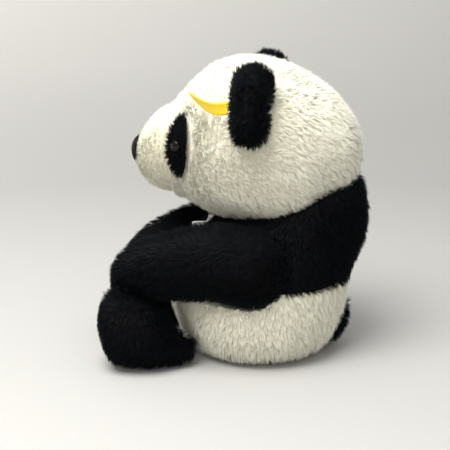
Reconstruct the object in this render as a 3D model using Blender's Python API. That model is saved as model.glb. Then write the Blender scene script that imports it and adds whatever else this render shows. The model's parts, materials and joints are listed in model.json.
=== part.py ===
"""Seated plush panda: sewn pile skins, fibre stuffing, plastic safety eyes and their inner washers.

Metres, +Z up. The face looks towards -Y and the toy's left side is +X.
The origin is the middle of the flat seat, where the toy meets the floor.
Every empty marks the axis of one moving body, and the pieces of that body hang from it.
"""

from math import cos, pi, radians, sin, sqrt

import bmesh
import bpy
from mathutils import Matrix, Vector
from mathutils.bvhtree import BVHTree

MM = 0.001

# fabric and gaps
SKIN = 0.0035  # backing cloth with the dense foot of its pile
GAP = 0.0004  # between two pieces that touch
FILL_GAP = 0.0012  # between a skin and the stuffing inside it
SIDES = 20  # points round a large piece
LIMB_SIDES = 16
SMALL_SIDES = 12

# head, in its own frame: origin at the neck pivot, nose towards -Y
HEAD_PIVOT = Vector((0.0, 0.004, 0.190))
HEAD_REST_TURN = radians(-8.0)  # the head rests turned a little to its right
HEAD_BALL = 0.0855  # the part of the head that sits in the shoulders stays inside this ball
# place along Y, middle height, half height, half width, all in mm
HEAD_RINGS = (
    (-122, -12, 15, 15),
    (-112, -9, 30, 26),
    (-101, -6, 38, 33),
    (-92, -4, 41, 38),
    (-78, 1, 48, 48),
    (-64, 5, 59, 61),
    (-50, 7, 68, 71),
    (-32, 7, 75, 78),
    (-8, 5, 76, 80),
    (15, 1, 74, 78),
    (38, -2, 66, 69),
    (56, 1, 51, 54),
    (72, -3, 35, 37),
    (80, -4, 18, 20),
)
HEAD_ENDS = ((-125, -13), (83, -4))  # place along Y and height of the two poles, mm
MUZZLE_SEAM_Y = -0.086
MOUTH_Z = -0.027
NECK_HOLE_RADIUS = 0.036
NECK_HOLE_DEPTH = 0.014  # how far the hole runs up into the stuffing
NECK_PLUG_RADIUS = 0.021
NECK_PLUG_LOW = 0.084
NECK_PLUG_HIGH = 0.124

# nose, eyes and patches, in the head's frame
NOSE_CENTRE = Vector((0.0, -0.120, -0.008))
NOSE_HALF = (0.016, 0.0075, 0.0125)
EYE_AIM = (0.54, -0.84, 0.075)  # direction from the head's pivot to the left eye
EYE_RADIUS = 0.0065
EYE_BULGE = 0.0048
SHANK_RADIUS = 0.0016
SHANK_LENGTH = 0.012
WASHER_RADIUS = 0.0065
WASHER_THICKNESS = 0.0012
PATCH_AIM = (0.545, -0.83, 0.085)
PATCH_HALF_HEIGHT = 0.027
PATCH_HALF_WIDTH = 0.0130
PATCH_THICKNESS = 0.0030
EYE_SEAT_GAP = 0.0018

# ears, in the head's frame
EAR_CENTRE = Vector((0.074, -0.008, 0.048))
EAR_RADIAL = 0.030
EAR_TANGENT = 0.040
EAR_THICK = 0.018
EAR_RISE = radians(35.0)  # slope of the ear's outward direction
EAR_GAP = 0.0030
EAR_HINGE_RADIUS = 0.078
LABEL_LENGTH = 0.032
LABEL_WIDTH = 0.011
LABEL_THICKNESS = 0.0008
LABEL_LIFT = radians(12.0)
LABEL_TWIST = radians(60.0)

# torso: height, middle along Y, half depth, half width, all in mm
TORSO_RINGS = (
    (0, -6, 48, 48),
    (3, -6, 57, 60),
    (12, -6, 66, 73),
    (28, -5, 76, 82),
    (50, -4, 83, 84),
    (72, 0, 86, 75),
    (92, 9, 82, 70),
    (112, 17, 77, 65),
    (132, 22, 72, 64),
    (152, 27, 65, 67),
    (168, 31, 55, 62),
)
YOKE_SEAM_Z = 0.071
SIDE_SEAM_Y = -0.018
PELLET_CENTRE = Vector((0.0, 0.0, 0.0142))
PELLET_HALF = (0.034, 0.038, 0.0095)

# arm on the left side: place along Y, place along X, height, half height, half width, all in mm
SHOULDER = Vector((0.064, -0.015, 0.092))
SHOULDER_BALL = 0.036
ARM_RINGS = (
    (-45, 64, 98, 34, 31),
    (-70, 62, 96, 33, 28),
    (-92, 60, 93, 30, 26),
    (-110, 57, 93, 24, 23),
    (-125, 55, 91, 17, 19),
    (-135, 53, 87, 11, 13),
)
ARM_TIP = (-140, 52, 83)
ARM_ROOM = 0.0010
ARM_OPENING_RADIUS = 0.012  # left in the skin where the stuffing goes in
RIGHT_ARM_DROP = radians(5.0)  # the right arm rests lower and further in than the left
RIGHT_ARM_CLOSE = radians(12.0)
ARM_LIFT_AXIS = Vector((-sqrt(0.5), 0.0, sqrt(0.5)))  # for the left arm, through the shoulder
ARM_LIFT = radians(60.0)  # how far the torso leaves room for it to lift
ARM_LIFT_STEPS = 6

# leg on the left side, same columns
HIP = Vector((0.058, -0.077, 0.0155))
HIP_BALL = 0.0145
LEG_RINGS = (
    (-85, 59, 19, 18, 20),
    (-93, 60, 29, 28, 27),
    (-104, 62, 33, 32, 30),
    (-120, 63, 36, 34, 31),
    (-136, 63, 38, 34, 29),
    (-146, 63, 41, 27, 21),
    (-150, 63, 43, 14, 12),
)
LEG_TIP = (-152, 63, 43)
SOLE_SEAM_Y = -0.141
LEG_ROOM = 0.0010
BALL_STEPS = 4  # rings from the back of a shoulder or hip ball to its middle

# tail and hanging loop
TAIL_CENTRE = Vector((0.0, 0.066, 0.0175))
TAIL_LEAN = radians(25.0)
TAIL_HALF = (0.016, 0.0090, 0.0165)
TAIL_HINGE = Vector((0.0, 0.072, 0.031))
TAIL_GAP = 0.0016
LOOP_WIDTH = 0.005
LOOP_THICKNESS = 0.0008
# side view of the hanging loop: place along Y and height, mm
LOOP_PATH = ((-57, 121), (-61, 124), (-66, 123), (-72, 117))
LOOP_X = 0.010

COLOURS = {
    "white_pile": (0.86, 0.83, 0.76, 0.9, 0.0),
    "cream_pile": (0.82, 0.76, 0.62, 0.9, 0.0),
    "black_pile": (0.012, 0.013, 0.015, 0.85, 0.0),
    "fibre": (0.90, 0.90, 0.88, 1.0, 0.0),
    "gloss_black": (0.010, 0.010, 0.012, 0.12, 0.0),
    "nylon": (0.80, 0.80, 0.78, 0.45, 0.0),
    "calico": (0.72, 0.68, 0.58, 0.9, 0.0),
    "yellow_ribbon": (0.90, 0.72, 0.05, 0.55, 0.0),
    "white_ribbon": (0.85, 0.85, 0.82, 0.6, 0.0),
}


def clear_scene():
    for obj in list(bpy.data.objects):
        bpy.data.objects.remove(obj, do_unlink=True)


def material(name):
    """The Principled material of that name, made on first use."""
    found = bpy.data.materials.get(name)
    if found:
        return found
    *rgb, roughness, metallic = COLOURS[name]
    made = bpy.data.materials.new(name)
    made.use_nodes = True
    shader = made.node_tree.nodes["Principled BSDF"]
    shader.inputs["Base Color"].default_value = (*rgb, 1.0)
    shader.inputs["Roughness"].default_value = roughness
    shader.inputs["Metallic"].default_value = metallic
    return made


# ---------- meshes ----------


def loft(rings, sides, start=None, end=None):
    """A closed form through elliptical rings.

    Each ring is (centre, first half axis, second half axis), all vectors. An end is a pole
    at the given point, or a flat cap where the point is None.
    """
    bm = bmesh.new()
    loops = []
    for centre, a, b in rings:
        turns = [2 * pi * i / sides for i in range(sides)]
        loops.append([bm.verts.new(centre + a * cos(t) + b * sin(t)) for t in turns])
    for near, far in zip(loops, loops[1:]):
        for i in range(sides):
            j = (i + 1) % sides
            bm.faces.new((near[i], near[j], far[j], far[i]))
    for point, rim in ((start, loops[0]), (end, loops[-1])):
        if point is None:
            bm.faces.new(rim)
            continue
        pole = bm.verts.new(point)
        for i in range(sides):
            bm.faces.new((rim[i], rim[(i + 1) % sides], pole))
    bmesh.ops.recalc_face_normals(bm, faces=bm.faces)
    return bm


def grown(bm, distance):
    """The same form with every point moved out along its normal; a negative distance shrinks it."""
    out = bm.copy()
    out.normal_update()
    moves = [(v, v.normal * distance) for v in out.verts]
    for v, step in moves:
        v.co += step
    return out


def ellipsoid(centre, half, sides=SMALL_SIDES, levels=6, turn=None):
    """A closed ellipsoid, its poles on its own Z axis, turned by a matrix where one is given."""
    turn = turn or Matrix.Identity(3)
    x, y, z = (turn @ Vector(axis) for axis in ((1, 0, 0), (0, 1, 0), (0, 0, 1)))
    rings = []
    for i in range(1, levels):
        lean = pi * i / levels
        middle = centre - z * (half[2] * cos(lean))
        rings.append((middle, x * (half[0] * sin(lean)), y * (half[1] * sin(lean))))
    return loft(rings, sides, centre - z * half[2], centre + z * half[2])


def cylinder(foot, top, radius, sides=SMALL_SIDES):
    """A closed cylinder between two points."""
    aim = (top - foot).to_track_quat("Z", "Y").to_matrix()
    x, y = aim @ Vector((radius, 0, 0)), aim @ Vector((0, radius, 0))
    return loft([(foot, x, y), (top, x, y)], sides)


def block(low, high):
    """A box between two opposite corners."""
    bm = bmesh.new()
    bmesh.ops.create_cube(bm, size=1.0)
    size = Vector(high) - Vector(low)
    for v in bm.verts:
        v.co = Vector(low) + Vector(((v.co[i] + 0.5) * size[i] for i in range(3)))
    return bm


def mirrored(bm):
    """The same form on the other side of the YZ plane."""
    out = bm.copy()
    for v in out.verts:
        v.co.x = -v.co.x
    bmesh.ops.reverse_faces(out, faces=out.faces)
    return out


def side_of(bm, side):
    return bm if side > 0 else mirrored(bm)


def head_form():
    rings = [
        (Vector((0, y, z)) * MM, Vector((w, 0, 0)) * MM, Vector((0, 0, h)) * MM)
        for y, z, h, w in HEAD_RINGS
    ]
    poles = [Vector((0, y, z)) * MM for y, z in HEAD_ENDS]
    return loft(rings, SIDES, *poles)


def torso_form():
    rings = [
        (Vector((0, y, z)) * MM, Vector((w, 0, 0)) * MM, Vector((0, d, 0)) * MM)
        for z, y, d, w in TORSO_RINGS
    ]
    return loft(rings, SIDES)


def limb_form(ball_centre, ball_radius, rings, tip):
    """A ball at the root that runs into a tapering limb towards -Y, for the left side."""
    x, z = Vector((1, 0, 0)), Vector((0, 0, 1))
    sections = []
    for i in range(1, BALL_STEPS + 1):
        lean = 0.5 * pi * i / BALL_STEPS
        centre = ball_centre + Vector((0, ball_radius * cos(lean), 0))
        radius = ball_radius * sin(lean)
        sections.append((centre, x * radius, z * radius))
    for along, across, height, half_height, half_width in rings:
        centre = Vector((across, along, height)) * MM
        sections.append((centre, x * half_width * MM, z * half_height * MM))
    back = ball_centre + Vector((0, ball_radius, 0))
    along, across, height = tip
    return loft(sections, LIMB_SIDES, back, Vector((across, along, height)) * MM)


# ---------- objects ----------


def pivot(name, location, parent=None, turn=0.0):
    """An empty on a joint's axis."""
    empty = bpy.data.objects.new(name, None)
    empty.empty_display_size = 0.02
    empty.location = location
    empty.rotation_euler = (0, 0, turn)
    empty.parent = parent
    bpy.context.scene.collection.objects.link(empty)
    return empty


def add(name, bm, base, look=None, offset=None):
    """An object that hangs from an empty. The form is given in the frame that `offset` is given in."""
    mesh = bpy.data.meshes.new(name)
    if offset is not None:
        bmesh.ops.translate(bm, vec=-offset, verts=bm.verts)
    bm.to_mesh(mesh)
    bm.free()
    mesh.shade_smooth()
    obj = bpy.data.objects.new(name, mesh)
    obj.parent = base
    bpy.context.scene.collection.objects.link(obj)
    if look:
        mesh.materials.append(material(look))
    else:
        obj.hide_render = True
        obj.display_type = "WIRE"
    return obj


def boolean(obj, cutter, operation="DIFFERENCE", solver="EXACT"):
    step = obj.modifiers.new(cutter.name, "BOOLEAN")
    step.operation = operation
    step.object = cutter
    step.solver = solver


def on_form(bm, aim, reach=0.2):
    """Where a ray from the frame's origin leaves a form, and the outward normal there."""
    tree = BVHTree.FromBMesh(bm)
    aim = Vector(aim).normalized()
    point, normal, _, _ = tree.ray_cast(aim * reach, -aim)
    return point, normal


# ---------- head ----------


def make_head(base):
    """The head's three sewn skins and its stuffing."""
    form = head_form()
    inside = add("cut_head_inside", grown(form, -SKIN), base)
    neck_top = Vector((0, 0, -0.066 + NECK_HOLE_DEPTH))
    neck = cylinder(Vector((0, 0, -0.095)), neck_top, NECK_HOLE_RADIUS, SIDES)
    neck_hole = add("cut_neck_hole", neck, base)
    far = 0.2
    behind = block((-far, MUZZLE_SEAM_Y + GAP, -far), (far, far, far))
    front_top = block((-far, -far, MOUTH_Z + GAP), (far, MUZZLE_SEAM_Y, far))
    front_low = block((-far, -far, -far), (far, MUZZLE_SEAM_Y, MOUTH_Z))
    panels = (
        ("head_skin", "white_pile", behind),
        ("muzzle_skin", "cream_pile", front_top),
        ("chin_skin", "cream_pile", front_low),
    )
    for name, look, room in panels:
        skin = add(name, form.copy(), base, look)
        boolean(skin, inside)
        boolean(skin, add("cut_" + name, room, base), "INTERSECT")
    boolean(bpy.data.objects["head_skin"], neck_hole)
    stuffing = add("head_stuffing", grown(form, -SKIN - FILL_GAP), base, "fibre")
    boolean(stuffing, neck_hole)
    return form


def make_nose(base, form):
    nose = add("nose", ellipsoid(NOSE_CENTRE, NOSE_HALF), base, "gloss_black")
    boolean(nose, add("cut_nose_seat", grown(form, GAP), base))


def eye_form(point, normal):
    """A domed cap with a shank behind it, turned on the eye's axis."""
    aim = normal.to_track_quat("Z", "Y").to_matrix()
    x, y = aim @ Vector((1, 0, 0)), aim @ Vector((0, 1, 0))
    back = point + normal * (PATCH_THICKNESS + EYE_SEAT_GAP)
    profile = [(-SHANK_LENGTH, SHANK_RADIUS), (0.0, SHANK_RADIUS), (0.0, EYE_RADIUS)]
    for lean in (25, 50, 72):
        angle = radians(lean)
        profile.append((EYE_BULGE * sin(angle), EYE_RADIUS * cos(angle)))
    rings = [(back + normal * along, x * r, y * r) for along, r in profile]
    return loft(rings, SMALL_SIDES, None, back + normal * EYE_BULGE)


def make_eye(base, form, side, label):
    """One safety eye, its washer inside the skin, and the pile patch it sits on."""
    x_sign = Vector((side, 1, 1))
    point, normal = on_form(form, Vector(EYE_AIM) * x_sign)
    centre, facing = on_form(form, Vector(PATCH_AIM) * x_sign)

    outer = grown(form, GAP + PATCH_THICKNESS)
    patch = add("eye_patch_" + label, outer, base, "black_pile")
    boolean(patch, add("cut_patch_back_" + label, grown(form, GAP), base))
    frame = facing.to_track_quat("Y", "Z").to_matrix()
    half = (PATCH_HALF_WIDTH, 0.02, PATCH_HALF_HEIGHT)
    oval = ellipsoid(centre, half, SMALL_SIDES, 8, frame)
    boolean(patch, add("cut_patch_edge_" + label, oval, base), "INTERSECT")

    bore = cylinder(point - normal * 0.02, point + normal * 0.02, SHANK_RADIUS + GAP, 8)
    bore = add("cut_eye_bore_" + label, bore, base)
    for piece in (patch, bpy.data.objects["head_skin"], bpy.data.objects["head_stuffing"]):
        boolean(piece, bore)
    add("eye_" + label, eye_form(point, normal), base, "gloss_black")

    outside = point - normal * (SKIN + GAP)
    inside = outside - normal * WASHER_THICKNESS
    washer = cylinder(inside, outside, WASHER_RADIUS)
    washer = add("eye_washer_" + label, washer, base, "nylon")
    boolean(washer, bore)
    boolean(washer, bpy.data.objects["cut_head_skin_back"])
    pocket = cylinder(inside - normal * 0.002, outside + normal * 0.004, WASHER_RADIUS + GAP)
    pocket = add("cut_washer_room_" + label, pocket, base)
    boolean(bpy.data.objects["head_stuffing"], pocket)


def make_skin_back(base, form):
    """The inner face of the head's skin as a cutter, for what must stay inside it."""
    shell = add("cut_head_skin_back", grown(form, 0.02), base)
    boolean(shell, add("cut_inside_gap", grown(form, -SKIN - GAP), base))


def make_ear(base, form, side, label):
    """An ear of two sewn halves that stands clear of the head by its bending room."""
    rise = Matrix.Rotation(-EAR_RISE, 3, "Y")
    half = (EAR_RADIAL, EAR_THICK, EAR_TANGENT)
    ear = ellipsoid(EAR_CENTRE, half, LIMB_SIDES, 8, rise)
    out = rise @ Vector((1, 0, 0))
    hinge = Vector((0, EAR_CENTRE.y, 0)) + out * EAR_HINGE_RADIUS
    hinge.x *= side
    empty = pivot("pivot_ear_" + label, hinge, base)
    head_room = add("cut_ear_seat_" + label, grown(form, EAR_GAP), base)
    far = 0.2
    halves = (
        ("front", block((-far, -far, -far), (far, EAR_CENTRE.y - GAP / 2, far))),
        ("back", block((-far, EAR_CENTRE.y + GAP / 2, -far), (far, far, far))),
    )
    for end, room in halves:
        name = f"ear_{label}_{end}"
        piece = add(name, side_of(ear, side).copy(), empty, "black_pile", hinge)
        boolean(piece, head_room)
        boolean(piece, add("cut_" + name, room, base), "INTERSECT")
    return empty, hinge


def make_label(empty, hinge):
    """A short blank ribbon, sewn to the front of the left ear and pointing forwards."""
    root = Vector((0.080, EAR_CENTRE.y - EAR_THICK - 0.0012, 0.046))
    lift = Matrix.Rotation(-LABEL_LIFT, 3, "X")
    aim = lift @ Matrix.Rotation(LABEL_TWIST, 3, "Y")
    along, across, up = aim @ Vector((0, -1, 0)), aim @ Vector((0, 0, 1)), aim @ Vector((1, 0, 0))
    rings = []
    for part in (0.0, 0.5, 1.0):
        centre = root + along * (LABEL_LENGTH * part) - up * (0.003 * sin(pi * part))
        rings.append((centre, across * LABEL_WIDTH / sqrt(2), up * LABEL_THICKNESS / sqrt(2)))
    ribbon = loft(rings, 4)
    add("ear_label", ribbon, empty, "yellow_ribbon", hinge)


# ---------- torso ----------


def arm_sweep(form, side):
    """The convex space that an arm passes through from rest to fully lifted."""
    room = grown(form, ARM_ROOM)
    centre = SHOULDER * Vector((side, 1, 1))
    axis = ARM_LIFT_AXIS * Vector((1, 1, side))
    spread = bmesh.new()
    for i in range(ARM_LIFT_STEPS + 1):
        turn = Matrix.Rotation(ARM_LIFT * i / ARM_LIFT_STEPS, 3, axis)
        for v in room.verts:
            spread.verts.new(centre + turn @ (v.co - centre))
    hull = bmesh.ops.convex_hull(spread, input=spread.verts)
    inner = [part for part in hull["geom_interior"] if isinstance(part, bmesh.types.BMVert)]
    bmesh.ops.delete(spread, geom=inner, context="VERTS")
    bmesh.ops.recalc_face_normals(spread, faces=spread.faces)
    return spread


def make_torso(base, arm_forms, leg_forms):
    """The black chest and back panels, the white seat and belly, and what is inside them."""
    form = torso_form()
    inside = add("cut_torso_inside", grown(form, -SKIN), base)
    far = 0.4
    ball = (HEAD_BALL,) * 3
    turn = Matrix.Rotation(HEAD_REST_TURN, 3, "Z")
    socket = add("cut_head_socket", ellipsoid(HEAD_PIVOT, ball, SIDES, 12, turn), base)
    sides = tuple(zip((1, -1), ("left", "right"), arm_forms, leg_forms))
    arms = [
        add(f"cut_arm_room_{label}", arm_sweep(arm, side), base) for side, label, arm, _ in sides
    ]
    legs = [add(f"cut_leg_room_{label}", grown(leg, LEG_ROOM), base) for _, label, _, leg in sides]

    seam_y, seam_z = SIDE_SEAM_Y, YOKE_SEAM_Z
    back = block((-far, seam_y + GAP / 2, seam_z + GAP), (far, far, far))
    chest = block((-far, -far, seam_z + GAP), (far, seam_y - GAP / 2, far))
    belly = block((-far, -far, -far), (far, far, seam_z))
    panels = (
        ("back_skin", "black_pile", back, "EXACT", (socket, *arms)),
        ("chest_skin", "black_pile", chest, "MANIFOLD", (socket, *arms)),
        ("belly_skin", "white_pile", belly, "EXACT", (*arms, *legs)),
    )
    for name, look, room, solver, cutters in panels:
        skin = add(name, form.copy(), base, look)
        boolean(skin, add("cut_" + name, room, base), "INTERSECT", solver)
        for cutter in (inside, *cutters):
            boolean(skin, cutter, "DIFFERENCE", solver)

    stuffing = add("torso_stuffing", grown(form, -SKIN - FILL_GAP), base, "fibre")
    plug_room = cylinder(
        Vector((0, HEAD_PIVOT.y, NECK_PLUG_LOW - 0.001)),
        Vector((0, HEAD_PIVOT.y, 0.2)),
        NECK_PLUG_RADIUS + 0.001,
    )
    pellets = ellipsoid(PELLET_CENTRE, PELLET_HALF, LIMB_SIDES)
    pellet_room = add("cut_pellet_room", grown(pellets, 0.001), base)
    rooms = (socket, add("cut_plug_room", plug_room, base), pellet_room, *arms, *legs)
    for cutter in rooms:
        boolean(stuffing, cutter)
    add("pellet_bag", pellets, base, "calico")


def make_neck(base):
    """The firm roll of fibre that carries the head and lets it turn."""
    foot = Vector((0, 0, NECK_PLUG_LOW - HEAD_PIVOT.z))
    top = Vector((0, 0, NECK_PLUG_HIGH - HEAD_PIVOT.z))
    add("neck_plug", cylinder(foot, top, NECK_PLUG_RADIUS), base, "fibre")


def make_tail(base):
    empty = pivot("pivot_tail", TAIL_HINGE, base)
    lean = Matrix.Rotation(-TAIL_LEAN, 3, "X")
    tail = ellipsoid(TAIL_CENTRE, TAIL_HALF, SMALL_SIDES, 6, lean)
    piece = add("tail", tail, empty, "black_pile", TAIL_HINGE)
    boolean(piece, add("cut_tail_seat", grown(torso_form(), TAIL_GAP), base))


def make_loop(base):
    """The narrow hanging loop on the chest, a bent strip."""
    rings = []
    for y, z in LOOP_PATH:
        centre = Vector((LOOP_X, y * MM, z * MM))
        across, thick = Vector((LOOP_WIDTH, 0, 0)), Vector((0, 0, LOOP_THICKNESS))
        rings.append((centre, across / sqrt(2), thick / sqrt(2)))
    add("hanging_loop", loft(rings, 4), base, "white_ribbon")


# ---------- limbs ----------


def right_arm_form(left):
    """The left arm's form mirrored, then turned down and inwards about the shoulder."""
    out = mirrored(left)
    centre = SHOULDER * Vector((-1, 1, 1))
    turn = Matrix.Rotation(RIGHT_ARM_CLOSE, 3, "Z") @ Matrix.Rotation(RIGHT_ARM_DROP, 3, "X")
    bmesh.ops.rotate(out, cent=centre, matrix=turn, verts=out.verts)
    return out


def make_arm(root, form, side, label):
    centre = SHOULDER * Vector((side, 1, 1))
    empty = pivot("pivot_arm_" + label, centre, root)
    inner = add("cut_arm_inside_" + label, grown(form, -SKIN), empty, None, centre)
    opening = cylinder(centre, centre - Vector((side * 0.06, 0, 0)), ARM_OPENING_RADIUS)
    opening = add("cut_arm_opening_" + label, opening, empty, None, centre)
    skin = add(f"arm_{label}_skin", form.copy(), empty, "black_pile", centre)
    boolean(skin, inner)
    boolean(skin, opening)
    fill = grown(form, -SKIN - FILL_GAP)
    add(f"arm_{label}_stuffing", fill, empty, "fibre", centre)


def make_leg(root, form, side, label):
    """Leg skin, the sewn-in sole and the stuffing."""
    centre = HIP * Vector((side, 1, 1))
    empty = pivot("pivot_leg_" + label, centre, root)
    inner = add("cut_leg_inside_" + label, grown(form, -SKIN), empty, None, centre)
    far = 0.2
    behind = block((-far, SOLE_SEAM_Y + GAP, -far), (far, far, far))
    before = block((-far, -far, -far), (far, SOLE_SEAM_Y, far))
    for name, room in ((f"leg_{label}_skin", behind), (f"sole_{label}", before)):
        skin = add(name, form.copy(), empty, "black_pile", centre)
        boolean(skin, inner)
        boolean(skin, add("cut_" + name, room, root), "INTERSECT")
    fill = grown(form, -SKIN - FILL_GAP)
    add(f"leg_{label}_stuffing", fill, empty, "fibre", centre)


def build():
    clear_scene()
    root = pivot("pivot_torso", (0, 0, 0))
    neck = pivot("pivot_neck", HEAD_PIVOT, root, HEAD_REST_TURN)
    head = pivot("pivot_head", (0, 0, 0), neck)
    arm = limb_form(SHOULDER, SHOULDER_BALL, ARM_RINGS, ARM_TIP)
    leg = limb_form(HIP, HIP_BALL, LEG_RINGS, LEG_TIP)
    arms, legs = (arm, right_arm_form(arm)), (leg, mirrored(leg))
    make_torso(root, arms, legs)
    make_neck(neck)
    form = make_head(head)
    make_nose(head, form)
    make_skin_back(head, form)
    for side, label, arm, leg in zip((1, -1), ("left", "right"), arms, legs):
        make_eye(head, form, side, label)
        ear, hinge = make_ear(head, form, side, label)
        if side > 0:
            make_label(ear, hinge)
        make_arm(root, arm, side, label)
        make_leg(root, leg, side, label)
    make_tail(root)
    make_loop(root)
    bpy.context.view_layer.update()


build()
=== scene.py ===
"""Seated plush panda: sewn pile skins over soft forms, for Blender 4.5 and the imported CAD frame.

Every soft form grows out of the CAD nodes: their meshes are joined, remeshed and puffed up by a cloth
simulation, cut into the sewn panels, and covered with a pile of closed, tapered strands.
"""

import json
from math import cos, pi, radians, sin

import bmesh
import bpy
import numpy as np
from mathutils import Matrix, Vector
from mathutils.bvhtree import BVHTree
from mathutils.kdtree import KDTree


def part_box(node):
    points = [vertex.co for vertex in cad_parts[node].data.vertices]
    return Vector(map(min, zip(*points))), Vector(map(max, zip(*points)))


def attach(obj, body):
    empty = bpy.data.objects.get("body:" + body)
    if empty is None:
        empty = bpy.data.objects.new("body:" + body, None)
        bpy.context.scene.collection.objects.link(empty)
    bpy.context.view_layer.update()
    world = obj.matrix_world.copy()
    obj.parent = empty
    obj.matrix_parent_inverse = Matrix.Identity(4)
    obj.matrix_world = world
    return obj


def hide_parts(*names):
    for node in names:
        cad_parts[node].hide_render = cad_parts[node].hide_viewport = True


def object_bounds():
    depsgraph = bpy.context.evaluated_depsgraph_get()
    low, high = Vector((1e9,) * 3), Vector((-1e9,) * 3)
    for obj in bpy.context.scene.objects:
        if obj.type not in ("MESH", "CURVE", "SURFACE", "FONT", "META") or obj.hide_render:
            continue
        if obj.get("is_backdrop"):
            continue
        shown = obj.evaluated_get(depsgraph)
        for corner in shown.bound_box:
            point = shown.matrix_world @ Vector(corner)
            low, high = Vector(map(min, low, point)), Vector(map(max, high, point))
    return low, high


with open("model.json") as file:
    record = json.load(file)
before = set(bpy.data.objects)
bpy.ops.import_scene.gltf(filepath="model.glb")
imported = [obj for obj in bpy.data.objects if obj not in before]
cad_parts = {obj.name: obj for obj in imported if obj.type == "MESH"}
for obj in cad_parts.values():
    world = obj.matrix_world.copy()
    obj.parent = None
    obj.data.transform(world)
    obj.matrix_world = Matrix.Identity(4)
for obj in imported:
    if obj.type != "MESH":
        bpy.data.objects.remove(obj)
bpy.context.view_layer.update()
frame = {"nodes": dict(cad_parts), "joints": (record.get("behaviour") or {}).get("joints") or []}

MM = 0.001
SCENE = bpy.context.scene
NODES = frame["nodes"]
JOINTS = {joint["name"]: joint for joint in frame["joints"]}

SIDES = ("left", "right")

VOXEL = 4.0 * MM  # of the remeshed soft forms
FINE_VOXEL = 3.0 * MM  # of the ears and the tail
FILL_GROW = 1.6 * MM  # closes the gap between stuffing and skin before the remesh
PUFF_LIMIT = 1.2 * MM  # most that the cloth simulation may move a point
PUFF_FRAMES = 20
PUFF_PRESSURE = 4.0
CLOTH_THICK = 1.2 * MM
WELD = 0.001 * MM  # corners nearer than this are one corner
HOLD = -0.8 * MM  # how far a neighbour's form stays off a limb or the head; below zero they press

# the head's own frame: origin at the neck pivot, nose towards -Y
HEAD_SIDE = Vector(JOINTS["head_nod"]["axis"]).normalized()
HEAD_UP = Vector((0, 0, 1))
HEAD_BACK = HEAD_UP.cross(HEAD_SIDE)
HEAD_PIVOT = Vector(JOINTS["head_nod"]["pos_m"])


def nodes_points(names):
    return np.array([v.co for name in names for v in NODES[name].data.vertices])


def reach(node, direction):
    """How far a CAD node reaches along a direction, from the origin."""
    return float((nodes_points([node]) @ np.array(direction)).max())


# ---------- soft forms ----------


def link(name, mesh):
    obj = bpy.data.objects.new(name, mesh)
    SCENE.collection.objects.link(obj)
    return obj


def from_bmesh(name, bm):
    mesh = bpy.data.meshes.new(name)
    bm.to_mesh(mesh)
    bm.free()
    mesh.shade_smooth()
    return link(name, mesh)


def settle(obj):
    """Keeps the object's evaluated shape and drops its modifiers."""
    graph = bpy.context.evaluated_depsgraph_get()
    mesh = bpy.data.meshes.new_from_object(obj.evaluated_get(graph))
    obj.modifiers.clear()
    old, obj.data = obj.data, mesh
    bpy.data.meshes.remove(old)
    return obj


def drop(obj):
    mesh = obj.data
    bpy.data.objects.remove(obj)
    bpy.data.meshes.remove(mesh)


def grow(bm, distance):
    bm.normal_update()
    steps = [(v, v.normal * distance) for v in bm.verts]
    for v, step in steps:
        v.co += step


def joined(name, skins, fills):
    """The CAD skins and their stuffing as one set of overlapping closed meshes."""
    whole = bmesh.new()
    for node in (*skins, *fills):
        part = bmesh.new()
        part.from_mesh(NODES[node].data)
        bmesh.ops.remove_doubles(part, verts=part.verts, dist=WELD)
        grow(part, FILL_GROW if node in fills else 0.25 * MM)
        mesh = bpy.data.meshes.new("part")
        part.to_mesh(mesh)
        part.free()
        whole.from_mesh(mesh)
        bpy.data.meshes.remove(mesh)
    return from_bmesh(name, whole)


def hull(name, nodes, distance=0.0):
    """The convex form round some CAD nodes, grown by a distance."""
    bm = bmesh.new()
    for point in nodes_points(nodes):
        bm.verts.new(point)
    out = bmesh.ops.convex_hull(bm, input=bm.verts)
    inner = [v for v in out["geom_interior"] if isinstance(v, bmesh.types.BMVert)]
    bmesh.ops.delete(bm, geom=inner, context="VERTS")
    bmesh.ops.remove_doubles(bm, verts=bm.verts, dist=WELD)
    bmesh.ops.recalc_face_normals(bm, faces=bm.faces)
    if distance:
        grow(bm, distance)
    return from_bmesh(name, bm)


def remesh(obj, voxel=VOXEL):
    step = obj.modifiers.new("remesh", "REMESH")
    step.mode = "VOXEL"
    step.voxel_size = voxel
    step.use_smooth_shade = True
    soft = obj.modifiers.new("soften", "SMOOTH")
    soft.factor, soft.iterations = 0.5, 3
    return settle(obj)


def largest_island(obj):
    """Removes everything but the largest connected part, such as sealed pockets from the remesh."""
    bm = bmesh.new()
    bm.from_mesh(obj.data)
    left, best = set(bm.verts), set()
    while left:
        stack = [left.pop()]
        island = set(stack)
        while stack:
            for edge in stack.pop().link_edges:
                for v in edge.verts:
                    if v in left:
                        left.discard(v)
                        island.add(v)
                        stack.append(v)
        if len(island) > len(best):
            best = island
    bmesh.ops.delete(bm, geom=[v for v in bm.verts if v not in best], context="VERTS")
    bm.to_mesh(obj.data)
    bm.free()
    return obj


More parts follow.
